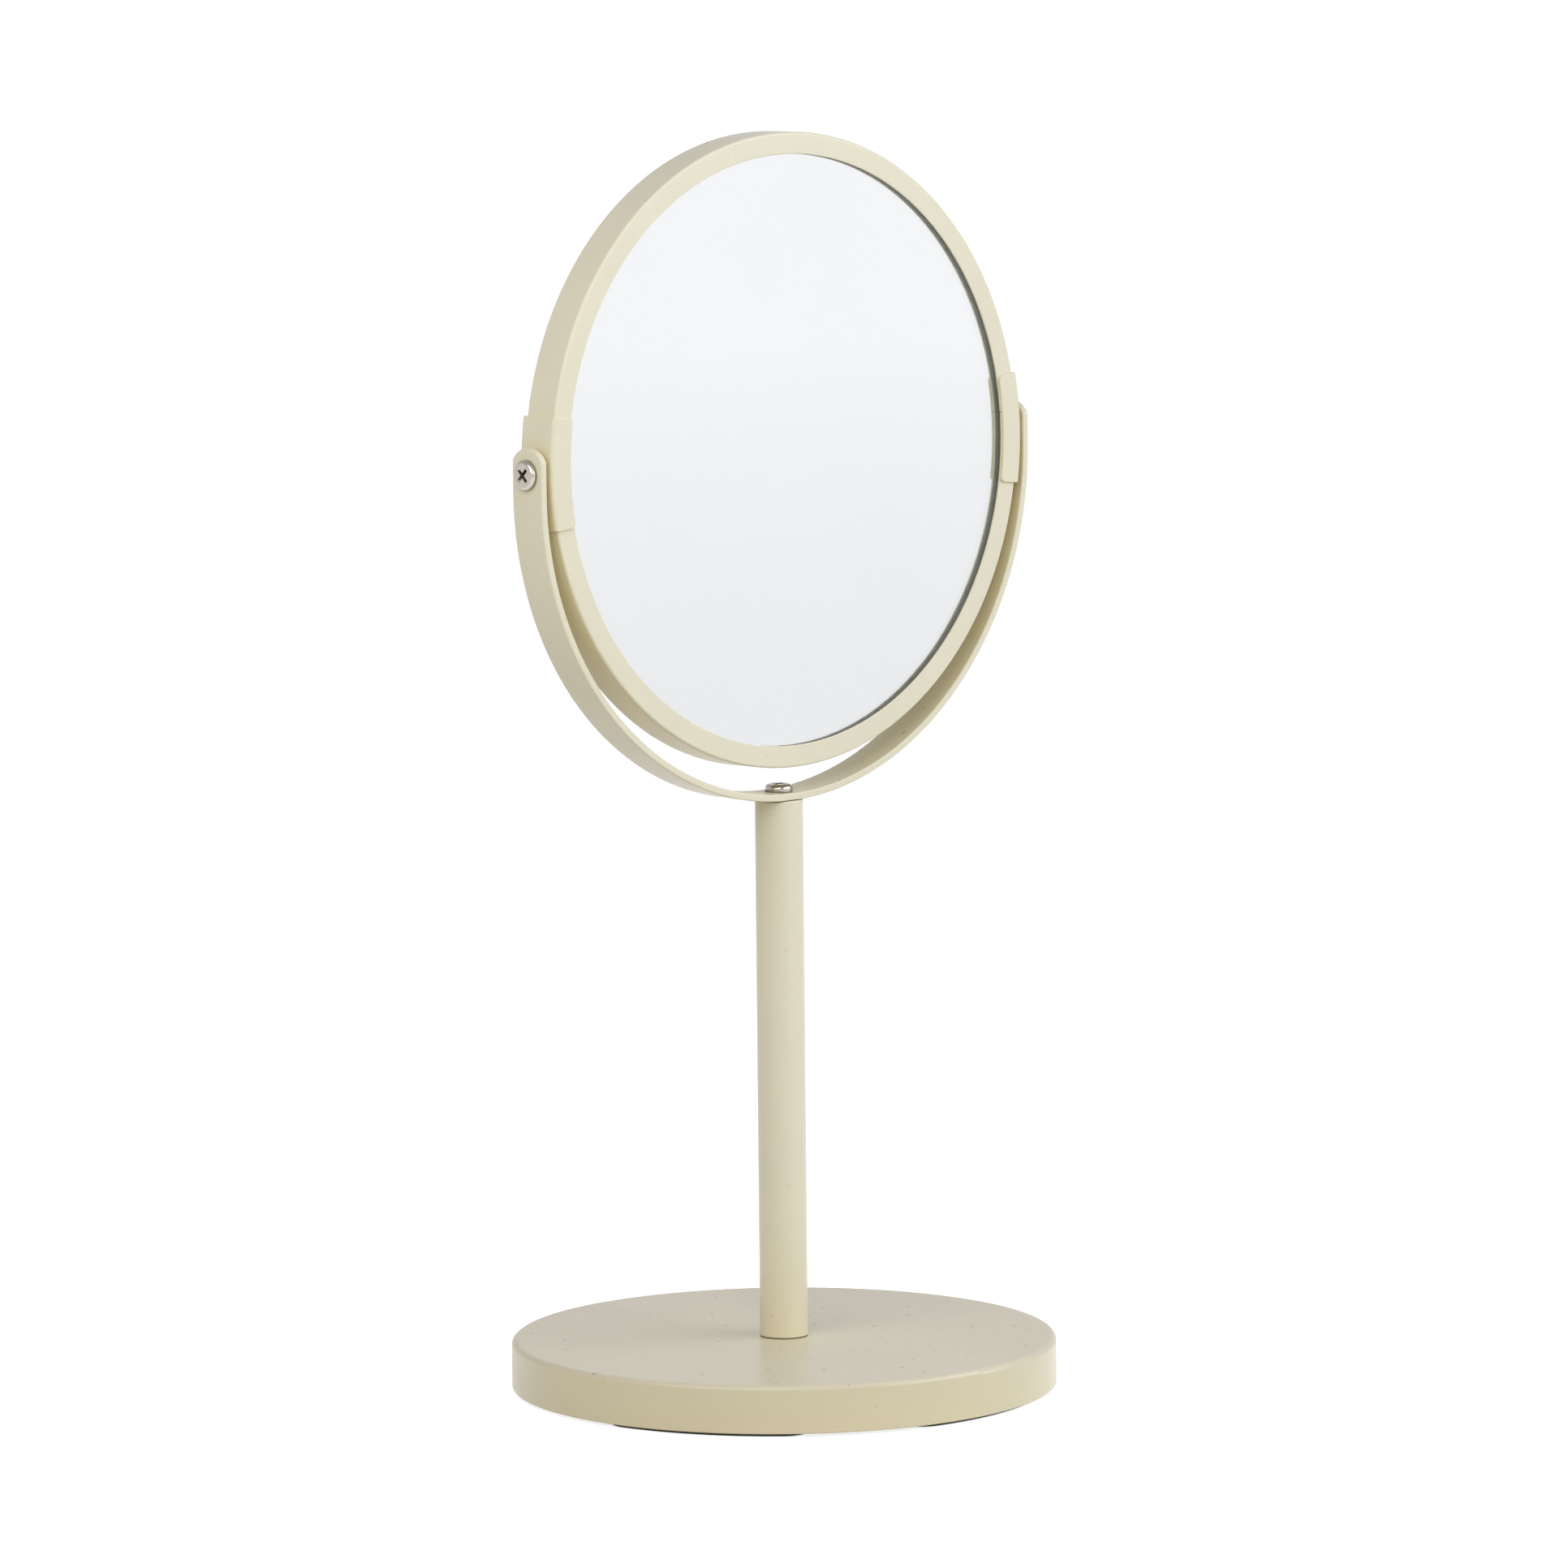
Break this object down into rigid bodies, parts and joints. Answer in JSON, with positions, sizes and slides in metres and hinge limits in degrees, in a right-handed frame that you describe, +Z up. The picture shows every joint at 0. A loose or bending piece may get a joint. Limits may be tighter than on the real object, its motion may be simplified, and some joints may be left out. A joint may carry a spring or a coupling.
{
  "type": "table mirror",
  "caption": "Round double-sided table mirror in a thin channel frame that tilts on screws in a bent strip yoke, on a tube stem with a weighted round base.",
  "frame": {"origin": "centre of the base's underside, on the floor under the stem", "axes": "+Z up along the stem, the front glass faces -Y, the pivot axis lies along X"},
  "size_m": [0.182, 0.1476, 0.3402],
  "materials": {
    "cream_paint": "satin powder coat with a fine grain",
    "bright_plate": "bright nickel plate",
    "zinc_steel": "zinc plated steel",
    "iron": "bare cast iron",
    "black_rubber": "matt moulded rubber",
    "mirror_glass": "clear glass silvered on its inner face",
    "nylon": "natural nylon",
    "grey_plastic": "moulded plastic"
  },
  "bodies": {
    "stand": {"base_cover": "cream_paint", "base_weight": "iron", "rubber_foot_1": "black_rubber", "rubber_foot_2": "black_rubber", "rubber_foot_3": "black_rubber", "rubber_foot_4": "black_rubber", "rubber_foot_5": "black_rubber", "base_bolt": "zinc_steel", "base_bolt_washer": "zinc_steel", "stem_tube": "cream_paint", "stem_bottom_plug": "zinc_steel", "stem_top_plug": "zinc_steel", "yoke": "cream_paint", "yoke_screw": "bright_plate"},
    "mirror_head": {"mirror_frame": "cream_paint", "front_mirror": "mirror_glass", "back_mirror": "mirror_glass", "mirror_spacer": "grey_plastic", "left_bracket": "cream_paint", "right_bracket": "cream_paint", "left_pivot_bush": "zinc_steel", "right_pivot_bush": "zinc_steel", "left_pivot_washer": "nylon", "right_pivot_washer": "nylon", "left_pivot_screw": "bright_plate", "right_pivot_screw": "bright_plate"}
  },
  "joints": [
    {"name": "mirror_tilt", "type": "hinge", "parent": "stand", "child": "mirror_head", "pos_m": [0, 0, 0.25496], "axis": [-1, 0, 0], "continuous": true}
  ]
}
